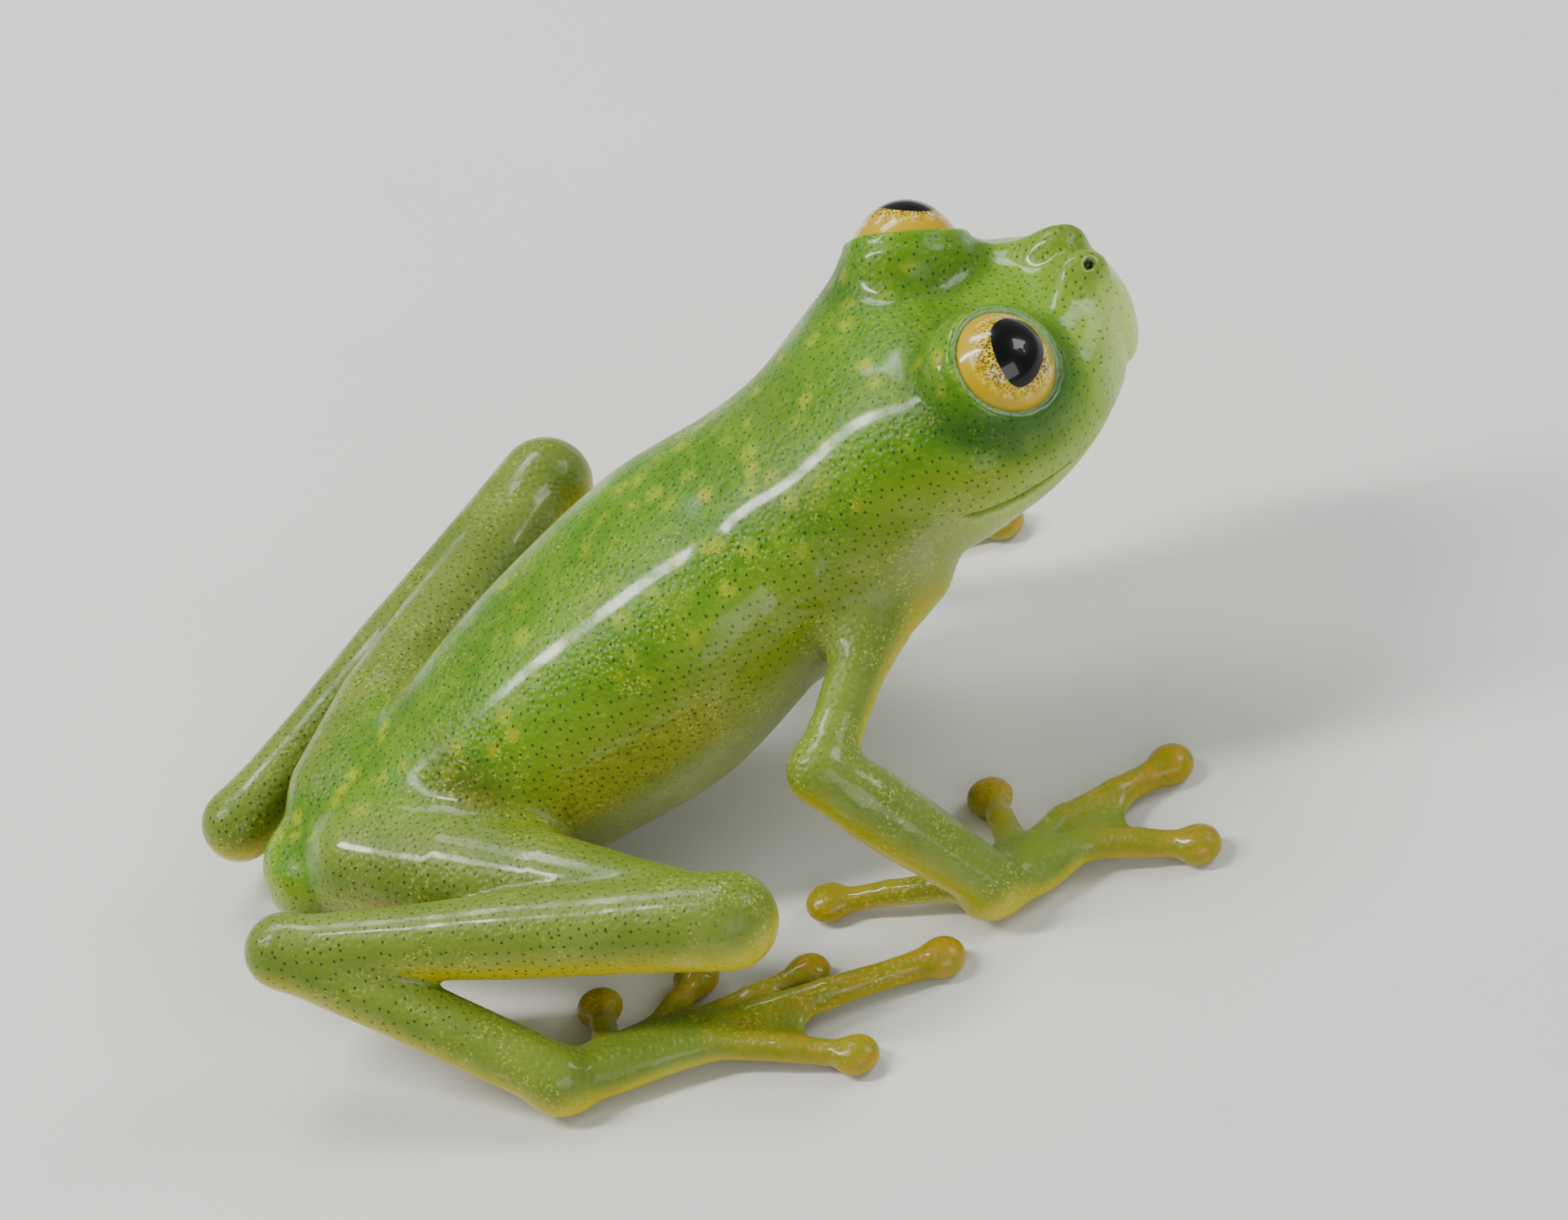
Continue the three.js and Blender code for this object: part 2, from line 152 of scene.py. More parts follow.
# Digits: tip and knuckle, each forward and outward of the wrist or ball, and half thickness
FINGERS = [
    ((-3.5, -2.3), (-0.9, -1.0), 0.36),
    ((0.9, -3.6), (0.9, -1.5), 0.38),
    ((5.0, -2.3), (2.2, -1.5), 0.42),
    ((4.75, 0.6), (2.4, -0.6), 0.4),
]
TOES = [
    ((1.5, -2.3), (1.3, -0.6), 0.36),
    ((3.8, -2.0), (2.5, -0.5), 0.36),
    ((6.2, -0.7), (3.4, -0.15), 0.38),
    ((9.15, 0.5), (3.8, 0.2), 0.42),
    ((6.45, 2.45), (3.6, 0.6), 0.38),
]
FINGER_WEBS = [(2, 0.55, 0.5)]
TOE_WEBS = [(1, 0.4, 0.35), (2, 0.6, 0.45), (3, 0.5, 0.7)]
DIGIT_HEIGHT = 0.36
KNUCKLE_HEIGHT = 0.62
DISC_WIDTH = 0.55
DISC_THICK = 1.02       # as a share of the digit's half thickness
DISC_MELT = 0.15
ROOT_SHARE = 0.75       # height of a palm's root, as a share of the wrist's or ball's
JOINT_SHARE, WAIST_SHARE = 0.48, 0.8
JOINT_RISE = np.array([0, 0, 0.04])

# Along a digit: shares of its half thickness at the start and end of each stretch, and the fillet
DIGIT_SHARES = [(1.15, 1.05, 0.2), (0.98, 0.84, 0.1), (0.86, 0.78, 0.08), (0.78, 0.95, 0.08)]

# Webs: a sheet of thin rods from the root to a hollow edge
WEB_HALF = 0.13
WEB_ROOT = 1.5
WEB_RODS = 7
WEB_HOLLOW, WEB_PULL = 0.1, 0.35
WEB_MELT = 0.22

# Palms and soles: middle, forward and outward, and half sizes
PALMS = [((0.9, -0.6), (1.25, 0.85, 0.6)), ((0, -0.2), (0.8, 0.7, 0.75))]
SOLES = [((1.6, -0.05), (2.1, 0.75, 0.55)), ((0.1, 0), (0.85, 0.75, 0.7))]
PALM_MELT = 0.35

# Each limb: its joints, lengths, digits, webs, and palms or soles
LIMBS = [
    (ARMS, ARM_LENGTHS, FINGERS, FINGER_WEBS, PALMS),
    (LEGS, LEG_LENGTHS, TOES, TOE_WEBS, SOLES),
]

# The volume that the skin is drawn round
VOXEL = 0.09
BAND = 1.5              # distances are kept up to this, and no fillet is wider
LOW = np.array([-3.4, -12.4, -0.6])
HIGH = np.array([24.6, 12.4, 13.6])
MARGIN = 0.2

# How the surface is evened out, and where the nape is evened more
EVEN_ROUNDS = 6
EVEN_OUT, EVEN_BACK = 0.55, -0.57
NAPE_SPREAD = 1.6       # in square millimetres
NAPE_START = (11.0, 13.0)
NAPE_END = (-17.6, -16.2)
NAPE_HEIGHT = (7.2, 8.4)

# The brown tint in front of each hip
HIP_PATCH = [4.3, 0, 4.5]


class Flesh:
    """A field of distances to the frog's surface, grown one rounded form at a time."""

    def __init__(self):
        self.counts = np.ceil((HIGH - LOW) / VOXEL).astype(int)
        self.far = np.full(self.counts, BAND, np.float32)

    def window(self, low, high, melt):
        """The part of the field between two corners and a margin, with its places."""
        margin = melt + 2 * VOXEL + MARGIN
        low, high = np.array(low) - margin, np.array(high) + margin
        first = np.clip(np.floor((low - LOW) / VOXEL).astype(int), 0, self.counts)
        last = np.clip(np.ceil((high - LOW) / VOXEL).astype(int) + 1, 0, self.counts)
        axes = [LOW[i] + VOXEL * np.arange(first[i], last[i], dtype=np.float32) for i in range(3)]
        x, y, z = np.meshgrid(*axes, indexing="ij", sparse=True)
        return tuple(slice(first[i], last[i]) for i in range(3)), x, y, z

    def add(self, form, low, high, melt):
        """Joins a form to the flesh. form gives distances at x, y, z, and melt is the fillet's width."""
        part, x, y, z = self.window(low, high, melt)
        mine = self.far[part]
        other = np.minimum(form(x, y, z), BAND).astype(np.float32)
        share = np.clip(0.5 + 0.5 * (mine - other) / melt, 0, 1)
        self.far[part] = mine + (other - mine) * share - melt * share * (1 - share)

    def carve(self, form, low, high, melt):
        """Takes a form out of the flesh, its edge rounded by melt."""
        part, x, y, z = self.window(low, high, melt)
        mine = self.far[part]
        other = -form(x, y, z).astype(np.float32)
        share = np.clip(0.5 + 0.5 * (other - mine) / melt, 0, 1)
        self.far[part] = mine + (other - mine) * share + melt * share * (1 - share)

    def skin(self):
        """Points and quads of the surface, in millimetres."""
        grid = openvdb.FloatGrid(BAND)
        grid.copyFromArray(np.clip(self.far, -BAND, BAND), tolerance=1e-4)
        points, quads = grid.convertToQuads(0.0)
        return points * VOXEL + LOW, quads[:, ::-1]


def smooth_rows(rows, count=200):
    """Catmull-Rom spline through the rows, as a dense table."""
    ends = np.vstack([2 * rows[0] - rows[1], rows, 2 * rows[-1] - rows[-2]])
    places = np.linspace(0, len(rows) - 1 - 1e-6, count)
    i = places.astype(int)
    t = (places - i)[:, None]
    a, b, c, d = ends[i], ends[i + 1], ends[i + 2], ends[i + 3]
    square = 2 * a - 5 * b + 4 * c - d
    cube = 3 * b - a - 3 * c + d
    return 0.5 * (2 * b + (c - a) * t + square * t**2 + cube * t**3)


def lofted(rows, power, snub):
    """Distance to a body whose oval sections stand along X, with rounded ends."""
    table = smooth_rows(rows)
    along = table[:, 0]
    lean = np.sqrt(1 + np.gradient(table[:, 1], along) ** 2)
    ends = [snub * (rows[e, 2] + rows[e, 3]) / 2 for e in (0, -1)]

    def form(x, y, z):
        middle, wide, rise, drop, tall = (
            np.interp(x, along, column) for column in (table[:, 1], *table[:, 2:].T, lean))
        up = z - middle
        high = np.where(up > 0, rise, drop) * tall
        ring = (np.abs(y / wide) ** power + np.abs(up / high) ** power) ** (1 / power)
        over = np.maximum(along[0] - x, 0) / ends[0] + np.maximum(x - along[-1], 0) / ends[1]
        return (np.sqrt(ring**2 + over**2) - 1) * np.minimum(wide, np.maximum(high, 0.5))
    return form


def head_axes():
    """The head's turn to the left and its nod."""
    turn = Matrix.Rotation(HEAD_YAW, 3, "Z") @ Matrix.Rotation(HEAD_PITCH, 3, "Y")
    return np.array(turn)


HEAD_TURN = head_axes()


def on_side(place, side):
    """A place given as forward, outward and up, on the right or the left."""
    return np.array([place[0], side * place[1], place[2]])


def from_head(point):
    return HEAD_TURN @ np.asarray(point, float) + HEAD_AT


def to_head(x, y, z):
    """Head-frame coordinates of grid places."""
    dx, dy, dz = x - HEAD_AT[0], y - HEAD_AT[1], z - HEAD_AT[2]
    return [HEAD_TURN[0, i] * dx + HEAD_TURN[1, i] * dy + HEAD_TURN[2, i] * dz for i in range(3)]


def oval(centre, half):
    """Distance to an upright ellipsoid, near enough for fillets."""
    def form(x, y, z):
        dx, dy, dz = x - centre[0], y - centre[1], z - centre[2]
        near = np.sqrt((dx / half[0]) ** 2 + (dy / half[1]) ** 2 + (dz / half[2]) ** 2)
        steep = np.sqrt((dx / half[0] ** 2) ** 2 + (dy / half[1] ** 2) ** 2 + (dz / half[2] ** 2) ** 2)
        return near * (near - 1) / np.maximum(steep, 1e-6)
    return form


def rod(a, b, girth_a, girth_b):
    """Distance to a tapering rod with round ends."""
    a, b = np.asarray(a, float), np.asarray(b, float)
    axis = b - a
    length = max(axis @ axis, 1e-9)

    def form(x, y, z):
        dx, dy, dz = x - a[0], y - a[1], z - a[2]
        t = np.clip((dx * axis[0] + dy * axis[1] + dz * axis[2]) / length, 0, 1)
        dx, dy, dz = dx - t * axis[0], dy - t * axis[1], dz - t * axis[2]
        return np.sqrt(dx**2 + dy**2 + dz**2) - (girth_a + (girth_b - girth_a) * t)
    return form


def add_oval(flesh, centre, half, melt):
    half = np.array(half)
    flesh.add(oval(centre, half), centre - half, centre + half, melt)


def add_rod(flesh, a, b, girth_a, girth_b, melt):
    reach = max(girth_a, girth_b)
    flesh.add(rod(a, b, girth_a, girth_b), np.minimum(a, b) - reach, np.maximum(a, b) + reach, melt)


def add_length(flesh, start, end, girths, melt):
    """One length of a limb, as rods between evenly set stations."""
    stops = [start + (end - start) * i / (len(girths) - 1) for i in range(len(girths))]
    lengths = list(zip(stops, stops[1:], girths, girths[1:]))

    def form(x, y, z):
        return np.minimum.reduce([rod(*length)(x, y, z) for length in lengths])
    reach = max(girths)
    flesh.add(form, np.minimum(start, end) - reach, np.maximum(start, end) + reach, melt)


def spread(place, base, side, height, turn):
    """A place on a hand or foot, given forward and outward of its base before the turn."""
    forward = place[0] * math.cos(turn) - place[1] * math.sin(turn)
    outward = place[0] * math.sin(turn) + place[1] * math.cos(turn)
    return np.array([base[0] + forward, base[1] + side * outward, height])


def add_web(flesh, root, a, b):
    """A thin sheet between two digits, hollowed towards the root."""
    middle = (a + b) / 2
    hollow = middle + (root - middle) * WEB_HOLLOW
    pulled = hollow + (root - middle) * WEB_PULL
    for i in range(WEB_RODS):
        share = i / (WEB_RODS - 1)
        edge = (1 - share) ** 2 * a + 2 * share * (1 - share) * pulled + share**2 * b
        add_rod(flesh, root, edge, WEB_HALF * WEB_ROOT, WEB_HALF, WEB_MELT)


def add_paw(flesh, base, side, digits, webs, palms, turn):
    """A hand or foot: its palm or sole, its digits with their discs, and the webs."""
    root = np.array([base[0], base[1], max(base[2] * ROOT_SHARE, KNUCKLE_HEIGHT)])
    knuckles = [spread(knuckle, base, side, KNUCKLE_HEIGHT, turn) for _, knuckle, _ in digits]
    tips = [spread(tip, base, side, DIGIT_HEIGHT, turn) for tip, _, _ in digits]
    for at, half in palms:
        add_oval(flesh, spread(at, base, side, half[2], turn), half, PALM_MELT)
    for (_, _, girth), knuckle, tip in zip(digits, knuckles, tips):
        middle = knuckle + (tip - knuckle) * JOINT_SHARE + JOINT_RISE
        waist = knuckle + (tip - knuckle) * WAIST_SHARE
        stops = [root, knuckle, middle, waist, tip]
        for (before, after, melt), start, end in zip(DIGIT_SHARES, stops, stops[1:]):
            add_rod(flesh, start, end, girth * before, girth * after, melt)
        add_oval(flesh, tip, [DISC_WIDTH, DISC_WIDTH, girth * DISC_THICK], DISC_MELT)
    for between, share_a, share_b in webs:
        middle = (knuckles[between] + knuckles[between + 1]) / 2
        a = middle + (tips[between] - middle) * share_a
        b = middle + (tips[between + 1] - middle) * share_b
        add_web(flesh, middle, a, b)


def add_limb(flesh, side, joints, lengths, digits, webs, palms):
    """An arm or a leg, from where it leaves the body to the tips of its digits."""
    for first, last, girths, melt in lengths:
        start, end = on_side(joints[side][first], side), on_side(joints[side][last], side)
        add_length(flesh, start, end, girths, melt)
    add_paw(flesh, end, side, digits, webs, palms, joints[side].get("turn", 0.0))


def add_eyelids(flesh, side):
    """The swelling over an eyeball, its socket, and the rolled rim of the lids."""
    axis = HEAD_TURN @ on_side(EYE_LOOKS, side)
    middle = from_head(on_side(EYE_AT, side))
    dome = middle - axis * LID_SET_BACK
    rim = middle + axis * LID_REACH

    def swelling(x, y, z):
        ball = np.sqrt((x - dome[0]) ** 2 + (y - dome[1]) ** 2 + (z - dome[2]) ** 2) - LID_RADIUS
        ahead = (x - rim[0]) * axis[0] + (y - rim[1]) * axis[1] + (z - rim[2]) * axis[2]
        share = np.clip(0.5 + 0.5 * (ahead - ball) / LID_SOFT, 0, 1)
        return ball + (ahead - ball) * share + LID_SOFT * share * (1 - share)

    def rolled(x, y, z):
        dx, dy, dz = x - rim[0], y - rim[1], z - rim[2]
        ahead = dx * axis[0] + dy * axis[1] + dz * axis[2]
        across = np.sqrt(np.maximum(dx**2 + dy**2 + dz**2 - ahead**2, 0))
        return np.sqrt((across - LID_OPENING) ** 2 + ahead**2) - LID_RIM

    def socket(x, y, z):
        away = np.sqrt((x - middle[0]) ** 2 + (y - middle[1]) ** 2 + (z - middle[2]) ** 2)
        return away - EYE_RADIUS - SOCKET_GAP
    reach = LID_RADIUS + LID_MARGIN
    flesh.add(swelling, dome - reach, dome + reach, LID_MELT)
    flesh.carve(socket, middle - reach, middle + reach, SOCKET_MELT)
    flesh.add(rolled, rim - reach, rim + reach, RIM_MELT)


def nostril_pit(side):
    """The middle of a nostril's opening."""
    return from_head(on_side(NOSTRIL_AT + PIT_FROM_NOSTRIL, side))


def add_head(flesh):
    """The head, with the lids, the nostril bumps and the ridges from them to the eyes."""
    form = lofted(HEAD, HEAD_ROUND, HEAD_SNUB)

    def placed(x, y, z):
        return form(*to_head(x, y, z))
    flesh.add(placed, HEAD_AT - HEAD_REACH - NECK_DROP, HEAD_AT + HEAD_REACH, HEAD_MELT)
    for side in (RIGHT, LEFT):
        add_eyelids(flesh, side)
        nostril = from_head(on_side(NOSTRIL_AT, side))
        add_oval(flesh, nostril, NOSTRIL_HALF, NOSTRIL_MELT)
        ridge = from_head(on_side(RIDGE_END, side))
        add_rod(flesh, nostril - RIDGE_DROP, ridge, *RIDGE_GIRTHS, RIDGE_MELT)
        pit = nostril_pit(side)
        flesh.carve(oval(pit, PIT_HALF), pit - PIT_REACH, pit + PIT_REACH, PIT_MELT)
    carve_mouth(flesh, form)


def carve_mouth(flesh, form):
    """The closed mouth: a fine groove that follows the jaw from corner to corner."""
    def groove(x, y, z):
        hx, hy, hz = to_head(x, y, z)
        dip = MOUTH_HEIGHT + MOUTH_BOW * np.cos(hx * MOUTH_WAVE)
        depth = form(hx, hy, hz) + MOUTH_DEPTH
        fade = np.clip((hx - MOUTH_CORNER) / MOUTH_FADE, 0, 1)
        across = np.abs(hz - dip) - MOUTH_HALF - MOUTH_GAIN * fade
        return np.maximum(across, -depth) + 0.25 * (1 - fade)
    flesh.carve(groove, HEAD_AT - MOUTH_REACH, HEAD_AT + MOUTH_REACH - MOUTH_TOP, MOUTH_MELT)


def grow_frog():
    """The whole field of distances, cut level where the frog rests on the floor."""
    flesh = Flesh()
    flesh.add(lofted(TRUNK, TRUNK_ROUND, TRUNK_SNUB), TRUNK_LOW, TRUNK_HIGH, TRUNK_MELT)
    add_head(flesh)
    for side in (RIGHT, LEFT):
        for limb in LIMBS:
            add_limb(flesh, side, *limb)
    floor = np.arange(flesh.counts[2]) * VOXEL + LOW[2]
    flesh.far = np.maximum(flesh.far, -floor.astype(np.float32)[None, None, :])
    return flesh


def relax(points, faces, rounds=EVEN_ROUNDS, back=EVEN_BACK):
    """Evens out the voxel steps, by default without shrinking the form."""
    edges = np.concatenate([faces[:, [i, (i + 1) % 4]] for i in range(4)])
    count = np.bincount(edges.ravel(), minlength=len(points))[:, None]
    for i in range(rounds):
        total = np.zeros_like(points)
        for a, b in ((0, 1), (1, 0)):
            for axis in range(3):
                total[:, axis] += np.bincount(edges[:, a], points[edges[:, b], axis], len(points))
        points = points + (EVEN_OUT if i % 2 == 0 else back) * (total / count - points)
    return points


def mesh_object(name, points, faces):
    """A smooth mesh from points in millimetres."""
    mesh = bpy.data.meshes.new(name)
    mesh.from_pydata((np.asarray(points) * MM).tolist(), [], faces)
    mesh.shade_smooth()
    piece = bpy.data.objects.new(name, mesh)
    bpy.context.collection.objects.link(piece)
    return piece


def mark(piece, name, values):
    """One number for each point, which the finish reads."""
    layer = piece.data.attributes.new(name, "FLOAT", "POINT")
    layer.data.foreach_set("value", np.asarray(values, np.float32))


def ramp(value, low, high):
    """0 below low, 1 above high, smooth between."""
    t = np.clip((value - low) / (high - low), 0, 1)
    return t * t * (3 - 2 * t)


def mark_skin(skin, points):
    """Where the back, belly, limbs, digits, lips and lids are."""
    x, y, z = points.T
    trunk = lofted(TRUNK, TRUNK_ROUND, TRUNK_SNUB)(x, y, z)
    hx, hy, hz = to_head(x, y, z)
    head = lofted(HEAD, HEAD_ROUND, HEAD_SNUB)(hx, hy, hz)
    body = np.minimum(trunk, head)
    for side in (RIGHT, LEFT):
        eye = from_head(on_side(EYE_AT, side))
        body = np.minimum(body, np.linalg.norm(points - eye, axis=1) - LID_RADIUS - 0.1)
    limb = ramp(body, 0.02, 0.9)
    table = smooth_rows(TRUNK)
    middle = np.interp(x, table[:, 0], table[:, 1])
    tall = np.interp(x, table[:, 0], table[:, 3])
    on_head = ramp(hx, -4.6, -1.8)
    height = (1 - on_head) * (z - middle) / tall + on_head * (hz + 2.6) / 2.0
    digit = np.zeros(len(points))
    for joints, lengths, digits, _, _ in LIMBS:
        for side in (RIGHT, LEFT):
            base = on_side(joints[side][lengths[-1][1]], side)
            turn = joints[side].get("turn", 0.0)
            for tip, knuckle, girth in digits:
                end = spread(tip, base, side, DIGIT_HEIGHT, turn)
                start = spread(knuckle, base, side, KNUCKLE_HEIGHT, turn)
                near = rod(start, end, girth, DISC_WIDTH)(x, y, z)
                way = end - start
                share = np.clip((points - start) @ way / (way @ way), 0, 1)
                digit = np.maximum(digit, ramp(-near, -0.25, 0.05) * (0.3 + 0.7 * share))
    far_off = 9.0
    rim = np.full(len(points), far_off)
    dome = np.full(len(points), far_off)
    for side in (RIGHT, LEFT):
        axis = HEAD_TURN @ on_side(EYE_LOOKS, side)
        offset = points - from_head(on_side(EYE_AT, side))
        ahead = offset @ axis
        across = np.linalg.norm(offset - ahead[:, None] * axis, axis=1)
        rim = np.minimum(rim, np.hypot(across - LID_OPENING + LID_RIM, ahead - LID_REACH))
        dome = np.minimum(dome, np.linalg.norm(offset, axis=1) + np.maximum(ahead, 0) * 0.4)
    mark(skin, "limb", limb)
    mark(skin, "height", height)
    mark(skin, "digit", digit)
    mark(skin, "rim", ramp(-rim, -0.17, -0.07))
    # the dome mark places painted shade on the lower side of each eye's dome, partly its real dark green
    # underside
    mark(skin, "dome", ramp(-dome, -2.5, -1.75) * (0.15 + 0.85 * ramp(-hz, -0.6, 1.0)))
    snout = ramp(hx, 1.6, 3.9) * ramp(-hz, -0.1, 1.1)
    jaw = ramp(-hz, 1.6, 3.2) * ramp(hx, -3.2, -1.0)
    mark(skin, "lip", np.clip(np.maximum(snout, 0.6 * jaw), 0, 1) * (1 - limb))
    mark(skin, "along", x)
    patch = np.linalg.norm((points * [1, 0, 1]) - HIP_PATCH, axis=1)
    mark(skin, "bruise", ramp(-patch, -1.25, -0.3) * (1 - limb))
    pits = [np.linalg.norm(points - nostril_pit(side), axis=1) for side in (RIGHT, LEFT)]
    # the pit mark places painted shade in each nostril's opening
    mark(skin, "pit", ramp(-np.minimum(*pits), -0.2, -0.1))


def ease_nape(points, faces):
    """Lets the back run on into the head in one soft line."""
    x, y, z = points.T
    share = ramp(x, *NAPE_START) * ramp(-x, *NAPE_END) * ramp(z, *NAPE_HEIGHT)
    near = faces[(share[faces] > 0).any(axis=1)]
    used, order = np.unique(near, return_inverse=True)
    soft = relax(points[used], order.reshape(near.shape), round(NAPE_SPREAD / VOXEL**2), EVEN_OUT)
    eased = points.copy()
    eased[used] += share[used][:, None] * (soft - points[used])
    return eased


def make_skin():
    """The frog's whole skin, from the snout to the tips of the toes."""
    flesh = grow_frog()
    points, faces = flesh.skin()
    points = ease_nape(relax(points, faces), faces)
    points[:, 2] = np.maximum(points[:, 2], 0.0)
    skin = mesh_object("skin", points - FLOOR_MIDDLE, faces.tolist())
    mark_skin(skin, points)
    return skin


def make_eye(side, name):
    """An eyeball with its cornea, made looking along its own Z and then turned into the head."""
    around, down = EYE_AROUND, EYE_DOWN
    turns = np.arange(around) * 2 * math.pi / around
    falls = np.arange(1, down) * math.pi / down
    fall, turn = np.meshgrid(falls, turns, indexing="ij")
    away = CORNEA_LIFT * np.cos(fall) + np.sqrt(
        np.maximum(CORNEA_RADIUS**2 - (CORNEA_LIFT * np.sin(fall)) ** 2, 0))
    farther = away + EYE_RADIUS + np.sqrt((away - EYE_RADIUS) ** 2 + SEAM_SOFT)
    reach = 0.5 * farther - SEAM_IN
    rings = np.stack([reach * np.sin(fall) * np.cos(turn), reach * np.sin(fall) * np.sin(turn),
                      reach * np.cos(fall)], -1).reshape(-1, 3)
    points = np.vstack([rings, [[0, 0, CORNEA_LIFT + CORNEA_RADIUS]], [[0, 0, -EYE_RADIUS]]])
    faces = []
    for j in range(around):
        k = (j + 1) % around
        faces.append([len(rings), j, k])
        faces += [[i * around + j, (i + 1) * around + j, (i + 1) * around + k, i * around + k]
                  for i in range(down - 2)]
        faces.append([len(rings) + 1, (down - 2) * around + k, (down - 2) * around + j])
    axis = Vector(HEAD_TURN @ on_side(EYE_LOOKS, side))
    up = Vector(HEAD_TURN @ np.array([0, 0, 1]))
    level = up.cross(axis).normalized()
    turn_to = np.array(Matrix((level, axis.cross(level), axis)).transposed())
    placed = points @ turn_to.T + from_head(on_side(EYE_AT, side)) - FLOOR_MIDDLE
    eye = mesh_object(name, placed, faces)
    mark(eye, "forward", -side * points[:, 0])
    mark(eye, "upright", points[:, 1])
    return eye


class Wire:
    """A socket's value, which takes part in sums as a number does."""

    def __init__(self, finish, socket):
        self.finish = finish
        self.socket = socket

    def sum(self, operation, *others, flip=False):
        terms = (self, *others)
        if flip:
            terms = terms[::-1]
        return self.finish.node("ShaderNodeMath", {"operation": operation}, dict(enumerate(terms)))

    def __add__(self, other):
        return self.sum("ADD", other)

    __radd__ = __add__

    def __mul__(self, other):
        return self.sum("MULTIPLY", other)

    def __sub__(self, other):
        return self.sum("SUBTRACT", other)

    def __rsub__(self, other):
        return self.sum("SUBTRACT", other, flip=True)

    def __truediv__(self, other):
        return self.sum("DIVIDE", other)

    def __pow__(self, other):
        return self.sum("POWER", other)

    def __abs__(self):
        return self.sum("ABSOLUTE")

    def __gt__(self, other):
        return self.sum("GREATER_THAN", other)

    def least(self, other):
        return self.sum("MINIMUM", other)

    def most(self, other):
        return self.sum("MAXIMUM", other)

    def ramp(self, low, high):
        """0 below low, 1 above high, smooth between; low may be the larger."""
        ends = {"From Min": low, "From Max": high, "To Min": 0.0, "To Max": 1.0}
        return self.finish.node("ShaderNodeMapRange", {"interpolation_type": "SMOOTHSTEP"},
                                {"Value": self, **ends})


class Finish:
    """One material, whose nodes are made as they are named."""

    def __init__(self, name, **constants):
        self.material = bpy.data.materials.new(name)
        self.material.use_nodes = True
        self.tree = self.material.node_tree
        self.shader = self.tree.nodes["Principled BSDF"]
        for socket, value in constants.items():
            self.shader.inputs[socket.replace("_", " ")].default_value = value

    def node(self, kind, settings, values, output=0):
        made = self.tree.nodes.new(kind)
        for name, value in settings.items():
            setattr(made, name, value)
        for name, value in values.items():
            self.plug(made.inputs[name], value)
        return Wire(self, made.outputs[output])

    def plug(self, socket, value):
        if isinstance(value, Wire):
            self.tree.links.new(value.socket, socket)
        else:
            socket.default_value = value

    def set(self, socket, value):
        self.plug(self.shader.inputs[socket], value)

    def mark(self, name):
        return self.node("ShaderNodeAttribute", {"attribute_name": name}, {}, "Fac")

    def mix(self, share, first, second):
        return self.node("ShaderNodeMix", {"data_type": "RGBA"}, {0: share, 6: first, 7: second}, 2)

    def place(self):
        """Millimetres in the frog's frame."""
        spot = self.node("ShaderNodeTexCoord", {}, {}, "Object")
        return self.node("ShaderNodeVectorMath", {"operation": "SCALE"}, {0: spot, "Scale": 1 / MM})

    def noise(self, size, detail=2.0, rough=0.5, at=None):
        values = {"Vector": at or self.place(), "Scale": 1 / size, "Detail": detail, "Roughness": rough}
        return self.node("ShaderNodeTexNoise", {}, values)

    def cells(self, size, stray=1.0, output="Distance", at=None, dimensions="3D"):
        values = {"Vector": at or self.place(), "Scale": 1 / size, "Randomness": stray}
        return self.node("ShaderNodeTexVoronoi", {"voronoi_dimensions": dimensions}, values, output)

    def parts(self, vector):
        made = self.node("ShaderNodeSeparateXYZ", {}, {0: vector}).socket.node
        return [Wire(self, socket) for socket in made.outputs]


def colour(red, green, blue):
    """A colour, 0 to 255, as the linear values that a shader takes."""
    return tuple((c / 255) ** 2.2 for c in (red, green, blue)) + (1.0,)


# Colours of the skin
BACK_DEEP = colour(72, 116, 8)
BACK_FRESH = colour(92, 134, 10)
BACK_MOTTLE = colour(116, 148, 12)
BACK_SPOT = colour(172, 178, 12)
FLANK_DEEP = colour(104, 128, 20)
FLANK_FRESH = colour(124, 142, 28)
# painted light: a brighter green for the head, standing in for the front of the frog being more lit
HEAD_PAINTED_LIGHT = colour(112, 154, 16)
GUT_EDGE = colour(114, 122, 40)
GUT_GLOW = colour(146, 148, 50)
BELLY = colour(136, 146, 86)
HIP_BROWN = colour(84, 68, 26)
# painted shade under each eye's dome, partly its real dark green underside
LID_GREEN_AND_PAINTED_SHADE = colour(30, 76, 14)
LIP = colour(190, 208, 118)
LEG_DEEP = colour(98, 118, 40)
LEG_FRESH = colour(114, 132, 46)
LIMB_UNDER = colour(192, 176, 22)
DIGIT_OLIVE = colour(132, 124, 16)
DIGIT_AMBER = colour(168, 124, 6)
DOT = colour(22, 42, 30)
FLAKE = colour(206, 204, 84)
LID_EDGE = colour(176, 206, 180)
# painted shade inside each nostril's opening
NOSTRIL_PAINTED_SHADE = colour(20, 30, 12)

# Colours of the eye
GOLD_DEEP = colour(182, 146, 0)
GOLD_FRESH = colour(216, 190, 40)
GOLD_PALE = colour(228, 212, 186)
SPECK = colour(34, 26, 14)
IRIS_RING = colour(180, 148, 0)
IRIS_EDGE = colour(120, 140, 60)
PUPIL = colour(4, 4, 4)

# Colours of the floor
FLOOR_DEEP = colour(206, 206, 200)
FLOOR_FRESH = colour(216, 216, 211)

# The dark dots of the skin and the specks of the iris, in millimetres
DOT_SPACING, DOT_RADIUS, DOT_EDGE = 0.25, 0.03, 0.014
SPECK_SPACING = 0.075


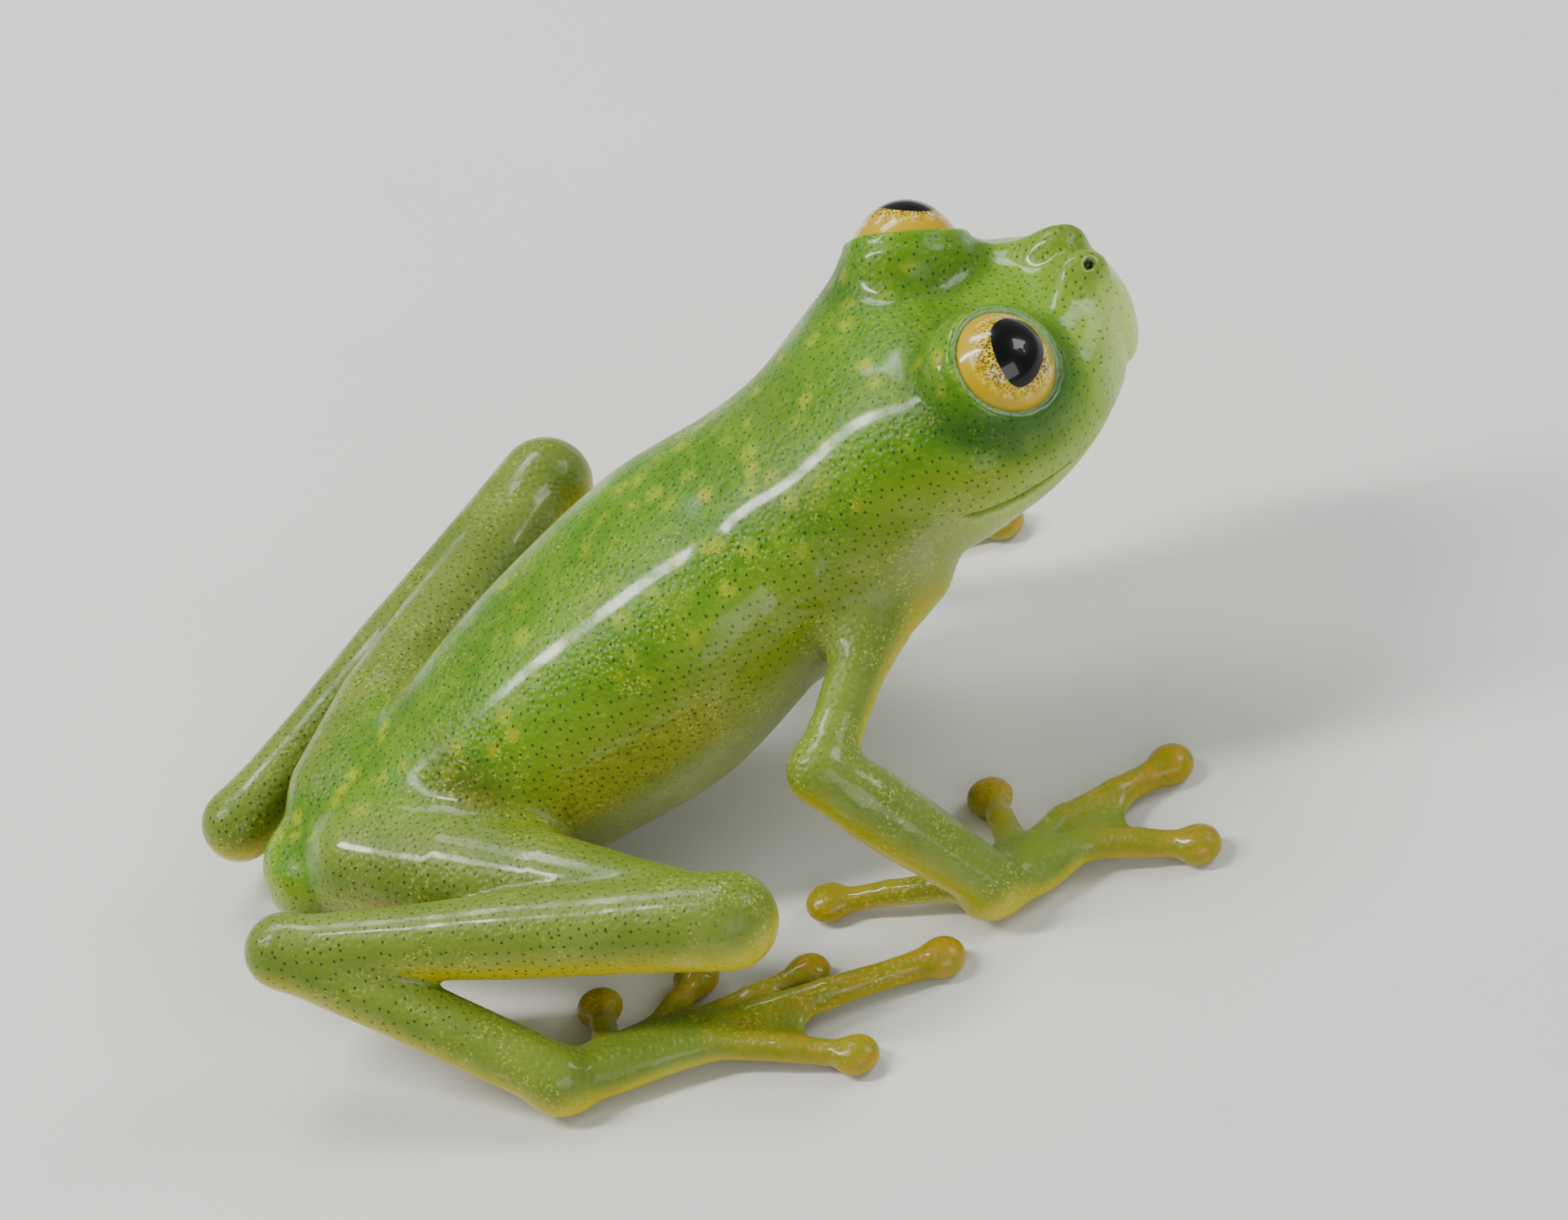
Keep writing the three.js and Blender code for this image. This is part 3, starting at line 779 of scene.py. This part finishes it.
def face_on_dots(finish, spacing, radius, soft):
    """Even dots over the surface: a flat pattern seen along whichever axis the skin faces most."""
    place = finish.place()
    x, y, z = finish.parts(place)
    facing = finish.node("ShaderNodeNewGeometry", {}, {}, "Normal")
    nx, ny, nz = (abs(part) for part in finish.parts(facing))
    total = None
    views = ((y, z, nx, (ny, nz)), (x, z, ny, (nx, nz)), (x, y, nz, (nx, ny)))
    for first, second, mine, others in views:
        flat = finish.node("ShaderNodeCombineXYZ", {}, {0: first, 1: second, 2: 0.0})
        spot = finish.cells(spacing, 0.62, at=flat, dimensions="2D") * spacing
        dot = spot.ramp(radius + soft, radius - soft) * (mine > others[0]) * (mine > others[1])
        total = dot if total is None else total + dot
    return total


def skin_finish():
    """Green back, clearer flank and belly, olive limbs, yellow digits, and a wet gloss."""
    finish = Finish("frog_skin", Subsurface_Weight=0.4, Subsurface_Scale=0.0009,
                    Subsurface_Radius=(0.9, 1.0, 0.25), IOR=1.4, Coat_Roughness=0.1,
                    Specular_IOR_Level=0.3)
    limb, height, digit = (finish.mark(name) for name in ("limb", "height", "digit"))
    rim, dome, lip, along = (finish.mark(name) for name in ("rim", "dome", "lip", "along"))
    facing = finish.node("ShaderNodeNewGeometry", {}, {}, "Normal")
    upward = finish.parts(facing)[2]

    clouds = finish.noise(2.2, 3.0)
    mottle = finish.noise(0.45, 4.0, 0.6)
    back = finish.mix(clouds.ramp(0.35, 0.7), BACK_DEEP, BACK_FRESH)
    back = finish.mix(mottle.ramp(0.42, 0.72) * 0.5, back, BACK_MOTTLE)
    spot = finish.cells(0.85, 0.95) + (finish.noise(0.16, 2.0) - 0.5) * 0.4
    spots = spot.ramp(0.4, 0.06) * finish.noise(1.5).ramp(0.32, 0.48)
    back = finish.mix(spots * 0.5, back, BACK_SPOT)

    side_skin = finish.mix(clouds.ramp(0.3, 0.75), FLANK_DEEP, FLANK_FRESH)
    body = finish.mix(height.ramp(0.85, 0.3), back, side_skin)
    # painted light: the head is painted brighter green, standing in for the front of the frog being more
    # lit
    body = finish.mix(along.ramp(17.5, 21.0) * 0.6, body, HEAD_PAINTED_LIGHT)
    gut = height.ramp(0.5, 0.12) * height.ramp(-0.3, -0.02)
    gut = gut * along.ramp(4.6, 6.6) * along.ramp(13.0, 9.5)
    coils = abs(finish.noise(0.7, 2.0) - 0.5).ramp(0.0, 0.035)
    lining = finish.mix(coils, GUT_EDGE, GUT_GLOW)
    under = height.ramp(0.12, -0.4)
    body = finish.mix(under * 0.85, body, BELLY)
    body = finish.mix(gut * 0.75, body, lining)
    body = finish.mix(finish.mark("bruise") * 0.5, body, HIP_BROWN)
    # painted shade: the lower side of each eye's dome is darkened, partly its real dark green underside
    # and partly shade under the bulge
    body = finish.mix(dome * 0.85, body, LID_GREEN_AND_PAINTED_SHADE)
    body = finish.mix(lip * 0.8, body, LIP)

    leg = finish.mix(clouds.ramp(0.3, 0.75), LEG_DEEP, LEG_FRESH)
    leg = finish.mix(upward.ramp(0.45, -0.5) * 0.85, leg, LIMB_UNDER)
    skin = finish.mix(limb, body, leg)
    paw = finish.mix(mottle.ramp(0.35, 0.7), DIGIT_OLIVE, DIGIT_AMBER)
    skin = finish.mix(digit * 0.8, skin, paw)

    dots = face_on_dots(finish, DOT_SPACING, DOT_RADIUS, DOT_EDGE)
    dotted = dots * (1 - digit.ramp(0.15, 0.5)) * (1 - lip * 0.5) * (1 - rim) * (1 - under * 0.85)
    skin = finish.mix(dotted * 0.8, skin, DOT)
    glint = finish.cells(0.048, 1.0, "Color")
    patches = finish.noise(1.3, 3.0).ramp(0.46, 0.62)
    flakes = finish.parts(glint)[0].ramp(0.8, 0.95) * patches * height.ramp(1.4, 0.8)
    flakes = flakes * along.ramp(19.5, 15.5)
    skin = finish.mix(flakes * 0.42, skin, FLAKE)
    skin = finish.mix(rim * 0.75, skin, LID_EDGE)
    # painted shade: each nostril's opening is darkened, standing in for the shadow inside it
    skin = finish.mix(finish.mark("pit") * 0.9, skin, NOSTRIL_PAINTED_SHADE)
    finish.set("Base Color", skin)

    grain = finish.cells(0.16, 0.9).ramp(0.0, 0.7) * 0.5 + finish.noise(0.35, 3.0) * 0.5
    finish.set("Roughness", 0.32 + mottle * 0.16)
    finish.set("Coat Weight", 0.12 + finish.noise(1.1).ramp(0.4, 0.65) * 0.4)
    bump = finish.node("ShaderNodeBump", {}, {"Strength": 0.6, "Distance": 0.06 * MM, "Height": grain})
    finish.set("Normal", bump)
    return finish.material


def eye_finish():
    """A gold iris with dark specks round an upright pupil, under a clear coat."""
    finish = Finish("frog_eye", Roughness=0.3, IOR=1.4, Specular_IOR_Level=0.2,
                    Coat_Weight=0.8, Coat_IOR=1.38, Coat_Roughness=0.02)
    forward, upright = finish.mark("forward"), finish.mark("upright")
    outward = (forward * forward + upright * upright) ** 0.5
    spot = finish.node("ShaderNodeCombineXYZ", {}, {0: forward, 1: upright, 2: 0.0})
    mottle = finish.noise(0.22, 3.0, 0.6, at=spot)
    wavy = outward + (finish.noise(0.3, 2.0, at=spot) - 0.5) * 0.05
    tall = upright * math.cos(PUPIL_TILT) + forward * math.sin(PUPIL_TILT)
    wide = forward * math.cos(PUPIL_TILT) - upright * math.sin(PUPIL_TILT)
    pupil_edge = ((wide / (tall * 0.12 + 0.63)) ** 2.0 + (tall / 0.85) ** 2.0) ** 0.5
    gold = finish.mix(mottle.ramp(0.35, 0.65), GOLD_DEEP, GOLD_FRESH)
    pale = finish.noise(0.35, 3.0, at=spot).ramp(0.52, 0.68)
    gold = finish.mix(pale * 0.6, gold, GOLD_PALE)
    specks = finish.cells(SPECK_SPACING, 1.0, at=spot, dimensions="2D") * SPECK_SPACING
    crowd = outward.ramp(1.12, 0.72)
    grit = finish.noise(0.09, 3.0, 0.7, at=spot)
    dark = (specks.ramp(0.034, 0.016) * 0.9).most(grit.ramp(0.54, 0.62)) * (0.3 + crowd * 0.7)
    iris = finish.mix(dark.least(1.0), gold, SPECK)
    ring = wavy.ramp(1.03, 1.1)
    iris = finish.mix(ring, iris, IRIS_RING)
    edge = wavy.ramp(1.2, 1.24)
    iris = finish.mix(edge, iris, IRIS_EDGE)
    pupil = pupil_edge.ramp(1.03, 0.99)
    finish.set("Base Color", finish.mix(pupil, iris, PUPIL))
    return finish.material


def floor_finish():
    finish = Finish("pale_floor", Roughness=0.75)
    grain = finish.noise(9.0, 3.0)
    finish.set("Base Color", finish.mix(grain, FLOOR_DEEP, FLOOR_FRESH))
    return finish.material


# Lights: name, place, size, watts, tint and share of shine
LIGHTS = [
    ("key_light", (-107, 38, 153), (22, 110), 0.36, (1.0, 0.99, 0.95), 1.0),
    ("fill_light", (30, -190, 90), (170, 110), 0.2, (0.97, 0.99, 1.0), 0.5),
    ("front_light", (150, -10, 120), (80, 80), 0.16, (1, 1, 1), 0.35),
    ("sky_light", (-12, 105, 160), (80, 46), 0.17, (0.97, 0.99, 1.0), 0.5),
]
WORLD_COLOUR = (0.72, 0.75, 0.76, 1)
WORLD_STRENGTH = 0.38
LIGHT_AIM = Vector((0, 0, 5))
FLOOR_REACH = 600


def area_light(name, place, size, watts, tint, gleam):
    """A soft lamp, set up in millimetres, that faces the frog's middle."""
    lamp = bpy.data.lights.new(name, "AREA")
    lamp.shape = "RECTANGLE"
    lamp.size, lamp.size_y = size[0] * MM, size[1] * MM
    lamp.energy = watts
    lamp.color = tint
    lamp.specular_factor = gleam
    holder = bpy.data.objects.new(name, lamp)
    holder.location = Vector(place) * MM
    aim = LIGHT_AIM * MM - holder.location
    holder.rotation_euler = aim.to_track_quat("-Z", "Y").to_euler()
    bpy.context.collection.objects.link(holder)


def set_lights():
    for light in LIGHTS:
        area_light(*light)
    world = bpy.data.worlds.new("studio")
    world.use_nodes = True
    backdrop = world.node_tree.nodes["Background"]
    backdrop.inputs["Color"].default_value = WORLD_COLOUR
    backdrop.inputs["Strength"].default_value = WORLD_STRENGTH
    bpy.context.scene.world = world


def set_floor():
    reach = FLOOR_REACH
    corners = [(-reach, -reach, 0), (reach, -reach, 0), (reach, reach, 0), (-reach, reach, 0)]
    floor = mesh_object("floor", corners, [(0, 1, 2, 3)])
    floor.data.materials.append(floor_finish())


# The view: from the frog's right, well above it, and rolled
VIEW_AZIMUTH = math.radians(-3)
VIEW_ELEVATION = math.radians(40)
VIEW_ROLL = math.radians(20)
VIEW_DISTANCE = 230.0
VIEW_MIDDLE = np.array([12.68, -0.91, 5.0])
IMAGE_WIDTH = 1920
PIXELS_PER_MM = 53.0
SENSOR = 36.0


def set_camera():
    data = bpy.data.cameras.new("view")
    data.sensor_width = SENSOR
    data.lens = PIXELS_PER_MM * VIEW_DISTANCE / IMAGE_WIDTH * SENSOR
    data.clip_start, data.clip_end = 0.01, 10
    camera = bpy.data.objects.new("view", data)
    back = Vector((math.sin(VIEW_AZIMUTH) * math.cos(VIEW_ELEVATION),
                   -math.cos(VIEW_AZIMUTH) * math.cos(VIEW_ELEVATION), math.sin(VIEW_ELEVATION)))
    across = Vector((math.cos(VIEW_AZIMUTH), math.sin(VIEW_AZIMUTH), 0))
    up = back.cross(across)
    right = across * math.cos(VIEW_ROLL) - up * math.sin(VIEW_ROLL)
    top = across * math.sin(VIEW_ROLL) + up * math.cos(VIEW_ROLL)
    middle = Vector(VIEW_MIDDLE - FLOOR_MIDDLE) * MM
    turn = Matrix((right, top, back)).transposed().to_4x4()
    camera.matrix_world = Matrix.Translation(middle + back * VIEW_DISTANCE * MM) @ turn
    bpy.context.collection.objects.link(camera)
    bpy.context.scene.camera = camera


set_camera()
set_lights()
set_floor()

skin = make_skin()
skin.data.materials.append(skin_finish())
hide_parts(*(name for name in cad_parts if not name.startswith("eye_")))
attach(skin, "root")

gaze = eye_finish()
for side, name in ((RIGHT, "right"), (LEFT, "left")):
    eye = make_eye(side, f"eyeball_{name}")
    eye.data.materials.append(gaze)
    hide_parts(f"eye_{name}")
    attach(eye, "root")
